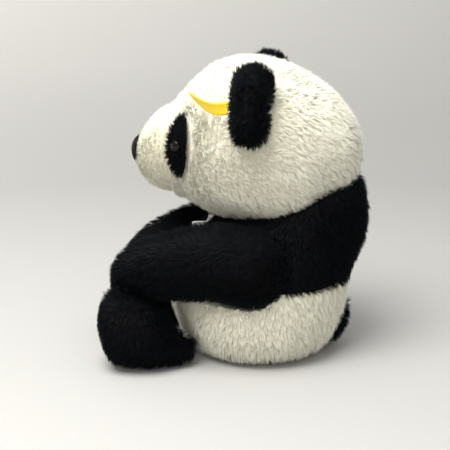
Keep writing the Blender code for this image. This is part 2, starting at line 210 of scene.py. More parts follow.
def puff(objs):
    """Inflates the closed forms a little with one short cloth simulation."""
    rest = {}
    for obj in objs:
        rest[obj.name] = coordinates(obj.data)
        cloth = obj.modifiers.new("puff", "CLOTH")
        cloth.settings.quality = 5
        cloth.settings.mass = 0.3
        cloth.settings.tension_stiffness = 15
        cloth.settings.compression_stiffness = 15
        cloth.settings.shear_stiffness = 5
        cloth.settings.bending_stiffness = 0.5
        cloth.settings.use_pressure = True
        cloth.settings.uniform_pressure_force = PUFF_PRESSURE
        cloth.settings.effector_weights.gravity = 0.0
        cloth.collision_settings.use_collision = False
        cloth.point_cache.frame_start, cloth.point_cache.frame_end = 1, PUFF_FRAMES
    for number in range(1, PUFF_FRAMES + 1):
        SCENE.frame_set(number)
    for obj in objs:
        settle(obj)
        before = rest[obj.name]
        move = coordinates(obj.data) - before
        size = np.linalg.norm(move, axis=1, keepdims=True)
        move *= np.minimum(1.0, PUFF_LIMIT / np.maximum(size, 1e-9))
        set_coordinates(obj.data, before + move)
    SCENE.frame_set(1)


def coordinates(mesh):
    out = np.empty(len(mesh.vertices) * 3)
    mesh.vertices.foreach_get("co", out)
    return out.reshape(-1, 3)


def set_coordinates(mesh, points):
    mesh.vertices.foreach_set("co", points.astype(np.float32).ravel())
    mesh.update()


def refine(obj, inset):
    """One subdivision, a light smooth, and the skin drawn in so that the pile reaches the outline."""
    step = obj.modifiers.new("refine", "SUBSURF")
    step.levels = step.render_levels = 1
    settle(obj)
    bm = bmesh.new()
    bm.from_mesh(obj.data)
    grow(bm, -inset)
    bm.to_mesh(obj.data)
    bm.free()
    soft = obj.modifiers.new("soften", "SMOOTH")
    soft.factor, soft.iterations = 0.5, 2
    return settle(obj)


def cut_away(obj, cutters):
    for cutter in cutters:
        step = obj.modifiers.new(cutter.name, "BOOLEAN")
        step.operation, step.solver, step.object = "DIFFERENCE", "EXACT", cutter
    return settle(obj)


def sliced(obj, planes):
    """Cuts the mesh along seam planes without opening it."""
    bm = bmesh.new()
    bm.from_mesh(obj.data)
    for point, normal in planes:
        everything = [*bm.verts, *bm.edges, *bm.faces]
        bmesh.ops.bisect_plane(bm, geom=everything, plane_co=point, plane_no=normal, dist=1e-5)
    bm.to_mesh(obj.data)
    bm.free()


def panel(form, name, inside):
    """The part of a form where inside(points) holds, as an open panel."""
    bm = bmesh.new()
    bm.from_mesh(form.data)
    centres = np.array([face.calc_center_median() for face in bm.faces])
    keep = inside(centres)
    gone = [face for face, stays in zip(bm.faces, keep) if not stays]
    bmesh.ops.delete(bm, geom=gone, context="FACES")
    return from_bmesh(name, bm)


def thicken(obj):
    step = obj.modifiers.new("cloth thickness", "SOLIDIFY")
    step.thickness, step.offset = CLOTH_THICK, -1.0
    return settle(obj)


# ---------- materials ----------


class Look:
    """A Principled material with a few shorthands for its nodes."""

    def __init__(self, name, roughness=0.6):
        self.material = bpy.data.materials.new(name)
        self.material.use_nodes = True
        self.tree = self.material.node_tree
        self.shader = self.tree.nodes["Principled BSDF"]
        self.shader.inputs["Roughness"].default_value = roughness
        self.place = self.node("ShaderNodeTexCoord").outputs["Object"]

    def node(self, kind, **settings):
        made = self.tree.nodes.new(kind)
        for key, value in settings.items():
            setattr(made, key, value)
        return made

    def feed(self, socket, value):
        if hasattr(value, "is_output"):
            self.tree.links.new(value, socket)
        elif isinstance(value, tuple):
            socket.default_value = (*value, 1.0) if socket.type == "RGBA" else value
        else:
            socket.default_value = value

    def set(self, **values):
        for key, value in values.items():
            self.feed(self.shader.inputs[key.replace("_", " ")], value)
        return self

    def noise(self, scale, detail=3.0, stretch=None):
        place = self.place
        if stretch:
            mapping = self.node("ShaderNodeMapping")
            self.feed(mapping.inputs["Vector"], place)
            mapping.inputs["Scale"].default_value = stretch
            place = mapping.outputs["Vector"]
        made = self.node("ShaderNodeTexNoise")
        self.feed(made.inputs["Vector"], place)
        made.inputs["Scale"].default_value = scale
        made.inputs["Detail"].default_value = detail
        return made.outputs["Fac"]

    def wave(self, scale, direction="X", distortion=0.0):
        made = self.node("ShaderNodeTexWave", bands_direction=direction)
        self.feed(made.inputs["Vector"], self.place)
        made.inputs["Scale"].default_value = scale
        made.inputs["Distortion"].default_value = distortion
        return made.outputs["Fac"]

    def attribute(self, name):
        return self.node("ShaderNodeAttribute", attribute_name=name).outputs["Fac"]

    def between(self, value, low, high, start=0.0, end=1.0):
        made = self.node("ShaderNodeMapRange")
        for key, number in zip(range(1, 5), (start, end, low, high)):
            made.inputs[key].default_value = number
        self.feed(made.inputs[0], value)
        return made.outputs[0]

    def mix(self, factor, first, second, blend="MIX"):
        made = self.node("ShaderNodeMix", data_type="RGBA", blend_type=blend)
        self.feed(made.inputs[0], factor)
        self.feed(made.inputs[6], first)
        self.feed(made.inputs[7], second)
        return made.outputs[2]

    def bump(self, height, strength, distance=0.3 * MM):
        made = self.node("ShaderNodeBump")
        made.inputs["Strength"].default_value = strength
        made.inputs["Distance"].default_value = distance
        self.feed(made.inputs["Height"], height)
        self.feed(self.shader.inputs["Normal"], made.outputs["Normal"])
        return self


def pile_look(name, root, tip, other, roughness, sheen, tint, shine=0.2):
    """Strands: darker at the root as painted shade deep in the pile, a little different from strand to
    strand and from patch to patch.
    """
    look = Look(name)
    # painted shade: each strand's colour darkens from its tip to its root, where the pile shades itself
    along = look.mix(look.attribute("along"), root, tip)
    strand = look.mix(look.between(look.attribute("shade"), 0.0, 0.5), along, other)
    patch = look.between(look.noise(30.0), 0.93, 1.02, 0.3, 0.7)
    grey = look.node("ShaderNodeCombineColor")
    for socket in grey.inputs:
        look.feed(socket, patch)
    colour = look.mix(1.0, strand, grey.outputs[0], "MULTIPLY")
    rough = look.between(look.attribute("shade"), roughness - 0.08, roughness + 0.08)
    look.set(Base_Color=colour, Roughness=rough, Sheen_Weight=sheen, Sheen_Roughness=0.4, Sheen_Tint=tint)
    look.set(Specular_IOR_Level=shine)
    return look.material


def backing_look(name, rgb, roughness=0.9):
    """The knitted backing cloth seen between the strands."""
    look = Look(name)
    weave = look.mix(0.5, look.wave(900.0, "X", 1.5), look.wave(900.0, "Z", 1.5))
    dark = tuple(c * 0.6 for c in rgb)
    look.set(Base_Color=look.mix(look.noise(220.0), dark, rgb))
    look.set(Roughness=look.between(look.noise(90.0), roughness - 0.1, roughness))
    look.set(Specular_IOR_Level=0.1)
    look.bump(weave, 0.5)
    return look.material


def fibre_look(name, rgb):
    look = Look(name)
    pale = tuple(min(1.0, c * 1.1) for c in rgb)
    look.set(Base_Color=look.mix(look.noise(60.0), rgb, pale))
    look.set(Roughness=look.between(look.noise(40.0), 0.8, 1.0), Sheen_Weight=0.3)
    look.bump(look.noise(400.0, 6.0), 0.8, 0.6 * MM)
    return look.material


def thread_look(name, rgb, roughness=0.35):
    look = Look(name)
    look.set(Base_Color=look.mix(look.noise(300.0), rgb, tuple(c * 1.6 for c in rgb)))
    look.set(Roughness=look.between(look.noise(500.0), roughness - 0.08, roughness + 0.1))
    look.set(Sheen_Weight=0.01, Specular_IOR_Level=0.12)
    look.bump(look.wave(1500.0, "DIAGONAL"), 0.4, 0.1 * MM)
    return look.material


def ribbon_look(name, rgb, shade):
    """Woven ribbon: ribs across and a faint mottled wear."""
    look = Look(name)
    ribs = look.attribute("ribs")
    wear = look.between(look.noise(120.0), 0.0, 0.35, 0.35, 0.7)
    look.set(Base_Color=look.mix(wear, look.mix(look.between(ribs, 0.0, 0.4), rgb, shade), shade))
    look.set(Roughness=look.between(look.noise(300.0), 0.42, 0.6), Sheen_Weight=0.25)
    look.bump(ribs, 0.5, 0.15 * MM)
    return look.material


def eye_look(name):
    """Glossy plastic: a black pupil in a very dark brown ring."""
    look = Look(name)
    ring = look.between(look.attribute("radius"), 0.0, 1.0, 0.55, 0.7)
    look.set(Base_Color=look.mix(ring, (0.002, 0.002, 0.002), (0.02, 0.008, 0.003)))
    look.set(Roughness=look.between(look.noise(200.0), 0.05, 0.1), Specular_IOR_Level=0.22)
    look.bump(look.noise(900.0), 0.02, 0.05 * MM)
    return look.material


def nylon_look(name, rgb):
    look = Look(name)
    look.set(Base_Color=look.mix(look.noise(100.0), rgb, tuple(c * 0.92 for c in rgb)))
    look.set(Roughness=look.between(look.noise(250.0), 0.35, 0.5), Subsurface_Weight=0.1)
    look.bump(look.noise(700.0), 0.1, 0.05 * MM)
    return look.material


# root (darker, as painted shade), tip, odd strands; roughness; sheen weight and tint; specular level
WHITE = pile_look(
    "white_pile", (0.92, 0.87, 0.64), (0.98, 0.97, 0.87), (0.96, 0.94, 0.77), 0.8, 0.3, (1.0, 1.0, 0.92)
)
CREAM = pile_look(
    "cream_pile", (0.90, 0.86, 0.64), (0.97, 0.955, 0.82), (0.94, 0.91, 0.71), 0.8, 0.3, (1.0, 0.99, 0.9)
)
# painted sheen and shade: the black pile's tips are paler and bluish, its roots darker
BLACK = pile_look(
    "black_pile",
    (0.0008, 0.0009, 0.0012),
    (0.002, 0.0024, 0.003),
    (0.006, 0.0075, 0.010),
    0.55,
    0.012,
    (0.6, 0.8, 1.0),
    0.05,
)
WHITE_BACK = backing_look("white_backing", (0.95, 0.90, 0.76))
CREAM_BACK = backing_look("cream_backing", (0.93, 0.86, 0.70))
BLACK_BACK = backing_look("black_backing", (0.002, 0.002, 0.003))
FIBRE = fibre_look("fibre", (0.85, 0.85, 0.82))
CALICO = backing_look("calico", (0.72, 0.68, 0.58))
THREAD = thread_look("black_thread", (0.003, 0.003, 0.0035))
YELLOW = ribbon_look("yellow_ribbon", (1.0, 0.74, 0.015), (0.85, 0.58, 0.01))
WHITE_RIBBON = ribbon_look("white_ribbon", (0.85, 0.84, 0.78), (0.7, 0.69, 0.64))
EYE = eye_look("gloss_black")
NYLON = nylon_look("nylon", (0.80, 0.80, 0.77))


# ---------- pile ----------


class Pile:
    """What a pile looks like: lengths in millimetres, density in strands to the square millimetre."""

    def __init__(self, length, width, lean, density, clump=5.0, pull=0.45, bent=0.4, spread=0.14):
        self.length = length * MM
        self.width = width * MM
        self.lean = lean
        self.density = density / MM**2
        self.clump = clump * MM  # spacing of the locks that the strands gather into
        self.pull = pull
        self.bent = bent  # share of bent strands; the rest are the straight undercoat
        self.spread = spread  # how far a strand's shading turns from that of the skin below it


GLINT = 0.6  # the spread of black pile, which shows as glints

LONG = Pile(9.0, 0.6, 0.95, 1.05, 4.8, 0.42, 0.36)
LIMB = Pile(8.5, 0.68, 0.95, 0.75, 4.5, 0.4, spread=GLINT)
SHOULDER = Pile(9.5, 0.68, 0.95, 0.75, 4.5, 0.35, spread=GLINT)
EAR = Pile(8.0, 0.65, 0.75, 1.0, 4.0, 0.6, spread=GLINT)
SHORT = Pile(4.8, 0.55, 1.0, 1.4, 3.0, 0.25, 0.2)
PATCH = Pile(5.6, 0.55, 0.6, 1.7, 3.0, 0.6, spread=GLINT)
SOLE = Pile(5.0, 0.7, 0.8, 0.8, 3.5, 0.4, spread=GLINT)
TAIL = Pile(9.5, 0.7, 0.7, 1.1, 4.0, 0.6, spread=GLINT)


PROBE = Vector((0.31, 0.17, 0.93)).normalized()  # direction of the rays that test for inside
FLOOR = 0.3 * MM  # nothing reaches lower
BARE_REACH = 4.6 * MM  # from a patch to the nearest strand of the skin below it
HIDDEN_TEST = 2.5 * MM  # above the cloth, where a strand is tested for lying inside a neighbour
ROOT_DEPTH = 0.8 * MM  # of the strands' feet below the cloth's face
BEND = 0.45  # share of its length at which a strand bends
LIFT = 1.3  # how upright a strand is below the bend
WANDER_WAVES = 90.0  # waves to the metre of the smooth part of the strands' wandering
WANDER_SMOOTH, WANDER_LOOSE = 0.30, 0.20
SHORTEST, LENGTH_SPAN = 0.75, 0.45  # of the strands, as shares of the pile's length
THINNEST, WIDTH_SPAN = 0.7, 0.6
BEND_PULL = 0.35  # how much of a lock's pull reaches the bend
LOCK_SHADE = 0.6  # share of a strand's shade that it has from its lock

# a strand's corners: three round the root, three round the bend where it has one, then the tip
BENT_FACES = ((0, 3, 4, 1), (1, 4, 5, 2), (2, 5, 3, 0), (3, 6, 4), (4, 6, 5), (5, 6, 3), (0, 1, 2))
STRAIGHT_FACES = ((0, 3, 1), (1, 3, 2), (2, 3, 0), (0, 1, 2))
CORNER_TURNS = [0.5 * pi + 2 * pi * k / 3 for k in range(3)]
ROOT_SHARE, BEND_SHARE = 0.5, 0.36  # of the strand's width, as the radius of its corners
BEND_ALONG = 0.6  # the colour's place at the bend
UNDERCOAT_CUT = 0.2  # share of its length that the undercoat lacks


def unit(vectors):
    return vectors / np.maximum(np.linalg.norm(vectors, axis=-1, keepdims=True), 1e-12)


def scatter(mesh, density, rng):
    """Random points on a mesh, evenly over its area, and the smooth normals there."""
    mesh.calc_loop_triangles()
    corners = np.empty(len(mesh.loop_triangles) * 3, dtype=np.int32)
    mesh.loop_triangles.foreach_get("vertices", corners)
    corners = corners.reshape(-1, 3)
    points = coordinates(mesh)
    normals = np.empty(len(mesh.vertices) * 3)
    mesh.vertices.foreach_get("normal", normals)
    normals = normals.reshape(-1, 3)
    a, b, c = (points[corners[:, i]] for i in range(3))
    areas = np.linalg.norm(np.cross(b - a, c - a), axis=1) / 2
    count = int(areas.sum() * density)
    chosen = rng.choice(len(areas), size=count, p=areas / areas.sum())
    u, v = np.sqrt(rng.random(count)), rng.random(count)
    weights = np.stack([1 - u, u * (1 - v), u * v], axis=1)[:, :, None]
    place = (points[corners[chosen]] * weights).sum(axis=1)
    facing = unit((normals[corners[chosen]] * weights).sum(axis=1))
    return place, facing


def swirl(points, rng, scale):
    """A smooth random direction field."""
    out = np.zeros_like(points)
    for _ in range(4):
        waves = rng.normal(size=(3, 3)) * scale
        out += np.sin(points @ waves + rng.random(3) * 2 * pi)
    return out / 2


def tree_of(obj):
    mesh = obj.data
    return BVHTree.FromPolygons([v.co for v in mesh.vertices], [p.vertices for p in mesh.polygons])


def inside_forms(points, forms):
    """Whether each point is inside one of the closed forms."""
    hit = np.zeros(len(points), dtype=bool)
    for form in forms:
        tree = tree_of(form)
        low, high = coordinates(form.data).min(axis=0), coordinates(form.data).max(axis=0)
        near = np.flatnonzero(((points > low) & (points < high)).all(axis=1) & ~hit)
        for i in near:
            point, crossings = Vector(points[i]), 0
            while True:
                spot, _, _, _ = tree.ray_cast(point, PROBE)
                if spot is None:
                    break
                crossings += 1
                point = spot + PROBE * 1e-5
            hit[i] = crossings % 2 == 1
    return hit


def toward(direction):
    """A flow that runs one way all over."""
    return lambda points: np.broadcast_to(np.array(direction, dtype=float), points.shape)


def away(centre, also=(0, 0, 0)):
    """A flow that spreads from a point, with a steady pull added."""
    centre, also = np.array(centre, dtype=float), np.array(also, dtype=float)
    return lambda points: unit(points - centre) + also


def strands(place, facing, flow, pile, rng):
    """Many strands, each a closed three-sided taper: bent top coat and straight undercoat."""
    count = len(place)
    flat = flow(place)
    flat = unit(flat - facing * (flat * facing).sum(axis=1, keepdims=True))
    wander = swirl(place, rng, WANDER_WAVES) * WANDER_SMOOTH
    wander += rng.normal(size=(count, 3)) * WANDER_LOOSE
    length = pile.length * (SHORTEST + LENGTH_SPAN * rng.random((count, 1)))
    lean = unit(facing + flat * pile.lean + wander)
    rise = unit(facing * LIFT + flat * pile.lean * 0.5 + wander * 0.7)
    middle = place + rise * length * BEND
    tip = middle + unit(lean + flat * 0.45) * length * (1 - BEND)

    # locks: the tips gather towards the tip of the nearest leading strand
    area_each = pile.clump**2
    leaders = rng.choice(count, size=max(1, int(count / pile.density / area_each)), replace=False)
    tree = KDTree(len(leaders))
    for i, leader in enumerate(leaders):
        tree.insert(place[leader], i)
    tree.balance()
    near = leaders[[tree.find(Vector(point))[1] for point in place]]
    pull = pile.pull * (0.5 + rng.random(count))[near][:, None]
    tip += (tip[near] - tip) * pull
    middle += (middle[near] - middle) * pull * BEND_PULL

    root = place - facing * ROOT_DEPTH
    axis = unit(tip - root)
    across = unit(np.cross(axis, facing + rng.normal(size=(count, 3)) * 0.1))
    third = unit(np.cross(axis, across))
    width = pile.width * (THINNEST + WIDTH_SPAN * rng.random((count, 1)))
    shade = LOCK_SHADE * rng.random(count)[near] + (1 - LOCK_SHADE) * rng.random(count)
    bent = rng.random(count) < pile.bent
    tip[~bent] -= (tip - root)[~bent] * UNDERCOAT_CUT

    parts = []
    for chosen, rings, ring_shares, heights, faces in (
        (bent, (root, middle), (ROOT_SHARE, BEND_SHARE), (0.0, BEND_ALONG), BENT_FACES),
        (~bent, (root,), (ROOT_SHARE,), (0.0,), STRAIGHT_FACES),
    ):
        corners = []
        for centre, share in zip(rings, ring_shares):
            for turn in CORNER_TURNS:
                corners.append(centre + (across * cos(turn) - third * sin(turn)) * width * share)
        points = np.stack([*corners, tip], axis=1)[chosen]
        along = np.tile([*np.repeat(heights, 3), 1.0], (len(points), 1))
        outward = points - ((root + tip) / 2)[chosen][:, None]
        line = axis[chosen][:, None]
        outward = unit(outward - line * (outward * line).sum(axis=2, keepdims=True))
        normals = unit(outward * pile.spread + facing[chosen][:, None])
        shades = np.repeat(shade[chosen][:, None], points.shape[1], axis=1)
        parts.append((points, along, shades, normals, faces))
    return parts


def strands_in(parts, area):
    """The strands whose roots are in an area."""
    out = []
    for points, along, shades, normals, faces in parts:
        chosen = area(points[:, 0])
        out.append((points[chosen], along[chosen], shades[chosen], normals[chosen], faces))
    return out


def strand_mesh(name, parts):
    """One mesh of many small closed bodies. Each part holds bodies that share the same faces."""
    loops, sizes, base = [], [], 0
    for points, _, _, _, faces in parts:
        count, each = points.shape[:2]
        corners = np.concatenate([np.array(face) for face in faces])
        starts = base + np.arange(count)[:, None] * each
        loops.append((starts + corners).ravel())
        sizes.append(np.tile([len(face) for face in faces], count))
        base += count * each
    loops, sizes = np.concatenate(loops), np.concatenate(sizes)
    flat = [np.concatenate([part[k].reshape(-1, 3) for part in parts]) for k in (0, 3)]
    values = [np.concatenate([part[k].ravel() for part in parts]) for k in (1, 2)]
    points, normals = flat
    points[:, 2] = np.maximum(points[:, 2], FLOOR)
    mesh = bpy.data.meshes.new(name)
    mesh.vertices.add(len(points))
    mesh.vertices.foreach_set("co", points.astype(np.float32).ravel())
    mesh.loops.add(loops.size)
    mesh.loops.foreach_set("vertex_index", loops.astype(np.int32))
    mesh.polygons.add(len(sizes))
    starts = np.concatenate([[0], np.cumsum(sizes)[:-1]])
    mesh.polygons.foreach_set("loop_start", starts.astype(np.int32))
    mesh.update(calc_edges=True)
    mesh.shade_smooth()
    for key, numbers in zip(("along", "shade"), values):
        layer = mesh.attributes.new(key, "FLOAT", "POINT")
        layer.data.foreach_set("value", numbers.astype(np.float32))
    mesh.normals_split_custom_set_from_vertices(normals)
    return mesh


WHOLE = {"": lambda p: p[:, 0] < 1.0}
HALVES = {"_left": lambda p: p[:, 0] > 0, "_right": lambda p: p[:, 0] <= 0}


def furnish(name, skin, body, pile, flow, looks, nodes, seed, hidden=(), bare=(), areas=WHOLE):
    """Thickens a panel and grows its pile; both ride on the body.

    No strand grows inside the hidden forms or under the bare ones, such as the eye patches.
    A large pile is made in several areas.
    """
    rng = np.random.default_rng(seed)
    place, facing = scatter(skin.data, pile.density, rng)
    for cover in bare:
        tree = tree_of(cover)
        keep = np.array([tree.find_nearest(Vector(p), BARE_REACH)[0] is None for p in place])
        place, facing = place[keep], facing[keep]
    if hidden:
        keep = ~inside_forms(place + facing * HIDDEN_TEST, hidden)
        place, facing = place[keep], facing[keep]
    parts = strands(place, facing, flow, pile, rng)
    for label, area in areas.items():
        mesh = strand_mesh(f"{name}{label}_pile", strands_in(parts, area))
        mesh.materials.append(looks[0])
        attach(link(mesh.name, mesh), body)
    thicken(skin)
    skin.data.materials.clear()
    skin.data.materials.append(looks[1])
    skin.name = name + "_cloth"
    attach(skin, body)
    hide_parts(*nodes)


# ---------- the forms ----------

HEAD_SKINS = ("head_skin", "muzzle_skin", "chin_skin")
TORSO_SKINS = ("back_skin", "chest_skin", "belly_skin")
INSET_LONG = 3.2 * MM
INSET_SHORT = 1.4 * MM
INSET_SMALL = 2.6 * MM  # of the ears and the tail

head_hull = hull("head_room", (*HEAD_SKINS, "head_stuffing"), HOLD)
arm_hulls = [hull(f"arm_room_{s}", (f"arm_{s}_skin",), HOLD) for s in SIDES]
leg_hulls = [hull(f"leg_room_{s}", (f"leg_{s}_skin", f"sole_{s}"), HOLD) for s in SIDES]

torso = cut_away(hull("torso_form", TORSO_SKINS), (head_hull, *arm_hulls, *leg_hulls))
head = joined("head_form", HEAD_SKINS, ("head_stuffing",))
arms = [joined(f"arm_{s}_form", (f"arm_{s}_skin",), (f"arm_{s}_stuffing",)) for s in SIDES]
legs = [
    joined(f"leg_{s}_form", (f"leg_{s}_skin", f"sole_{s}"), (f"leg_{s}_stuffing",)) for s in SIDES
]
ears = [joined(f"ear_{s}_form", (f"ear_{s}_front", f"ear_{s}_back"), ()) for s in SIDES]
tail = joined("tail_form", ("tail",), ())
forms = [torso, head, *arms, *legs, *ears, tail]
for form in forms:
    remesh(form, FINE_VOXEL if form in (tail, *ears) else VOXEL)
    largest_island(form)
puff(forms)
for form in forms:
    refine(form, INSET_SMALL if form in (tail, *ears) else INSET_LONG)

EAR_HEIGHT = 0.93  # the pile stands past the ends of the ear
EAR_DROP = 0.8 * MM
EAR_SQUARE = 0.3  # how far the ear's outline goes from an oval towards a rounded block
EAR_PINCH = 0.22  # depth of the dent in the ear's rear edge, just below its middle
for ear in ears:
    points = coordinates(ear.data)
    low, high = points.min(axis=0), points.max(axis=0)
    middle, half = (low + high) / 2, (high - low) / 2
    rise = (points[:, 2] - middle[2]) / half[2]
    wider = np.minimum((1.001 - rise**2) ** -EAR_SQUARE, 1.5)
    pinch = 1 - EAR_PINCH * np.exp(-(((rise + 0.05) / 0.22) ** 2)) * (points[:, 1] > middle[1])
    points[:, 1] = middle[1] + (points[:, 1] - middle[1]) * wider * pinch
    points[:, 2] = middle[2] + (points[:, 2] - middle[2]) * EAR_HEIGHT - EAR_DROP
    set_coordinates(ear.data, points)

# the seat tucks in below the back, and the tail sits in that hollow
points = coordinates(torso.data)
TUCK, TUCK_HEIGHT, TUCK_REACH = 6.5 * MM, 72.0 * MM, 34.0 * MM
TUCK_BEHIND = 60.0 * MM  # how far back the tuck is full
tuck = np.exp(-(((points[:, 2] - TUCK_HEIGHT) / TUCK_REACH) ** 2))
points[:, 1] -= TUCK * tuck * np.clip(points[:, 1] / TUCK_BEHIND, 0, 1)
set_coordinates(torso.data, points)
points = coordinates(tail.data)
middle = points.mean(axis=0)
TAIL_SCALE = (2.0, 1.3, 1.5)
TAIL_RAISE = (0, 0, 9.0 * MM)
points = middle + (points - middle) * TAIL_SCALE + TAIL_RAISE
set_coordinates(tail.data, points)

# the short pile of the muzzle needs less room than the long pile behind it
muzzle_seam = reach("muzzle_skin", HEAD_BACK)
back_axis = np.array(HEAD_BACK)
points = coordinates(head.data)
MUZZLE_START, MUZZLE_FADE = 6.0 * MM, 14.0 * MM  # from the seam, and how far the change takes
JAW_BELOW, JAW_FADE, JAW_TUCK = 26.0 * MM, 16.0 * MM, -0.4
ahead = np.clip((muzzle_seam + MUZZLE_START - points @ back_axis) / MUZZLE_FADE, 0, 1)
above_jaw = points[:, 2] - (HEAD_PIVOT.z - JAW_BELOW)
ahead *= np.clip(above_jaw / JAW_FADE, JAW_TUCK, 1)  # the jaw stays drawn in
normals = np.empty(points.size)
head.data.vertices.foreach_get("normal", normals)
set_coordinates(head.data, points + normals.reshape(-1, 3) * ahead[:, None] * (INSET_LONG - INSET_SHORT))


FILL_DEPTH = 3.0 * MM  # least distance of the stuffing under the cloth
FILL_SMOOTHING = 30
FILL_STEP, FILL_STEPS = 0.08, 14


def fill(name, form, node, body):
    """The stuffing: the form rounded off and drawn in until all of it is well under the cloth."""
    obj = link(name, form.data.copy())
    soft = obj.modifiers.new("soften", "SMOOTH")
    soft.factor, soft.iterations = 0.5, FILL_SMOOTHING
    settle(obj)
    points = coordinates(obj.data)
    middle = points.mean(axis=0)
    tree = tree_of(form)
    for _ in range(FILL_STEPS):
        out = ~inside_forms(points, [form])
        near = np.array([tree.find_nearest(Vector(p))[3] < FILL_DEPTH for p in points])
        wrong = out | near
        if not wrong.any():
            break
        points[wrong] += (middle - points[wrong]) * FILL_STEP
    set_coordinates(obj.data, points)
    obj.data.materials.append(FIBRE)
    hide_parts(node)
    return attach(obj, body)


def soft_copy(name, node, body, look):
    """A small hidden soft piece, remeshed so that it has the roundness of filled cloth."""
    obj = remesh(joined(name, (node,), ()), 2.5 * MM)
    obj.data.materials.append(look)
    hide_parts(node)
    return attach(obj, body)


fill("torso_fill", torso, "torso_stuffing", "torso")
fill("head_fill", head, "head_stuffing", "head")
for n, s in enumerate(SIDES):
    fill(f"arm_{s}_fill", arms[n], f"arm_{s}_stuffing", f"arm_{s}")
    fill(f"leg_{s}_fill", legs[n], f"leg_{s}_stuffing", f"leg_{s}")

# ---------- torso ----------

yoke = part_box("belly_skin")[1].z
side_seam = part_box("chest_skin")[1].y
sliced(torso, [((0, 0, yoke), (0, 0, 1)), ((0, side_seam, 0), (0, 1, 0))])
around_torso = [head, *arms, *legs]
DOWN = toward((0, 0.1, -1))


SHOULDER_AHEAD = (0, -30.0 * MM, 0)  # from the arm's joint to where the nap runs to
SHOULDER_REACH = 58.0 * MM


def over_shoulders(points):
    """Down the back, but over the arm's root round each shoulder, so that no groove shows there."""
    out = np.broadcast_to(np.array((0.0, 0.25, -1.0)), points.shape).copy()
    for s in SIDES:
        centre = np.array(JOINTS[f"arm_{s}_lift"]["pos_m"]) + SHOULDER_AHEAD
        step = centre - points
        near = np.exp(-((np.linalg.norm(step, axis=1) / SHOULDER_REACH) ** 4))[:, None]
        out = out * (1 - near) + (unit(step) + (0, 0, -0.5)) * near
    return out


back = panel(torso, "back", lambda p: (p[:, 2] > yoke) & (p[:, 1] > side_seam))
chest = panel(torso, "chest", lambda p: (p[:, 2] > yoke) & (p[:, 1] <= side_seam))
belly = panel(torso, "belly", lambda p: p[:, 2] <= yoke)
blacks, whites, creams = (BLACK, BLACK_BACK), (WHITE, WHITE_BACK), (CREAM, CREAM_BACK)
room = {"hidden": around_torso}
furnish("back", back, "torso", SHOULDER, over_shoulders, blacks, ["back_skin"], 1, **room, areas=HALVES)
furnish("chest", chest, "torso", SHOULDER, over_shoulders, blacks, ["chest_skin"], 2, **room)
furnish("belly", belly, "torso", LONG, DOWN, whites, ["belly_skin"], 3, **room, areas=HALVES)
soft_copy("pellet_bag_cloth", "pellet_bag", "torso", CALICO)
soft_copy("neck_roll", "neck_plug", "neck", FIBRE)

# ---------- head ----------

EYE_ROOM = 4.7 * MM  # from the middle of an eye to the nearest strand of its patch
EYE_SINK = 2.4 * MM  # the pile round it stands higher than its bare seat


PATCH_VOXEL = 1.5 * MM
PATCH_FACING = -0.15  # strands that face the head more than this are left out


def patch_form(s):
    """The cloth of the black patch round an eye."""
    bm = bmesh.new()
    bm.from_mesh(NODES[f"eye_patch_{s}"].data)
    bmesh.ops.remove_doubles(bm, verts=bm.verts, dist=WELD)
    obj = remesh(from_bmesh(f"eye_patch_{s}_cloth", bm), PATCH_VOXEL)
    obj.data.materials.append(BLACK_BACK)
    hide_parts(f"eye_patch_{s}")
    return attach(obj, "head")


def patch_pile(form, s, seed):
    """Its pile, left out under the eye and on the side that faces the head."""
    centre = Vector(nodes_points([f"eye_patch_{s}"]).mean(axis=0))
    outwards = np.array(centre - HEAD_PIVOT) * (1, 1, 0)
    outwards /= np.linalg.norm(outwards)
    rng = np.random.default_rng(seed)
    place, normal = scatter(form.data, PATCH.density, rng)
    keep = normal @ outwards > PATCH_FACING
    eye = nodes_points([f"eye_{s}"])
    eye_middle = eye[np.argmax(eye @ outwards)]
    keep &= np.linalg.norm(place - eye_middle, axis=1) > EYE_ROOM
    flow = away(centre, (0, 0.3, -0.15))
    mesh = strand_mesh(f"eye_patch_{s}_pile", strands(place[keep], normal[keep], flow, PATCH, rng))
    mesh.materials.append(BLACK)
    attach(link(mesh.name, mesh), "head")


patches = [patch_form(s) for s in SIDES]
for n, (s, form) in enumerate(zip(SIDES, patches)):
    patch_pile(form, s, 50 + n)

mouth_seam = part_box("chin_skin")[1].z
nose_low, nose_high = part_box("nose")
nose_middle = (nose_low + nose_high) / 2
sliced(head, [(HEAD_BACK * muzzle_seam, HEAD_BACK), ((0, 0, mouth_seam), (0, 0, 1))])
face = panel(head, "head", lambda p: p @ back_axis > muzzle_seam)
muzzle = panel(head, "muzzle", lambda p: (p @ back_axis <= muzzle_seam) & (p[:, 2] > mouth_seam))
chin = panel(head, "chin", lambda p: (p @ back_axis <= muzzle_seam) & (p[:, 2] <= mouth_seam))
ear_line = Vector(JOINTS["ear_left_bend"]["pos_m"]).dot(HEAD_BACK)


NAPE = 40.0 * MM  # behind the ears, where the nap runs straight down


def head_flow(points):
    """Back from the nose over the head, and more and more downwards behind the ears."""
    behind = np.clip((points @ back_axis - muzzle_seam) / (ear_line - muzzle_seam + NAPE), 0, 1)
    return unit(points - np.array(nose_middle)) + np.outer(behind**2, (0, 0, -1.1))


def quarter(side, behind):
    return lambda p: (p[:, 0] * side > 0) & ((p @ back_axis > ear_line) == behind)


QUARTERS = {
    "_face_left": quarter(1, False),
    "_face_right": quarter(-1, False),
    "_nape_left": quarter(1, True),
    "_nape_right": quarter(-1, True),
}
MUZZLE_FLOW = away(nose_middle, (0, 0.4, 0))
room = {"hidden": [torso], "bare": patches}
furnish("head", face, "head", LONG, head_flow, whites, ["head_skin"], 4, **room, areas=QUARTERS)
furnish("muzzle", muzzle, "head", SHORT, MUZZLE_FLOW, creams, ["muzzle_skin"], 5)
furnish("chin", chin, "head", SHORT, MUZZLE_FLOW, creams, ["chin_skin"], 6)

# ---------- limbs, ears, tail ----------

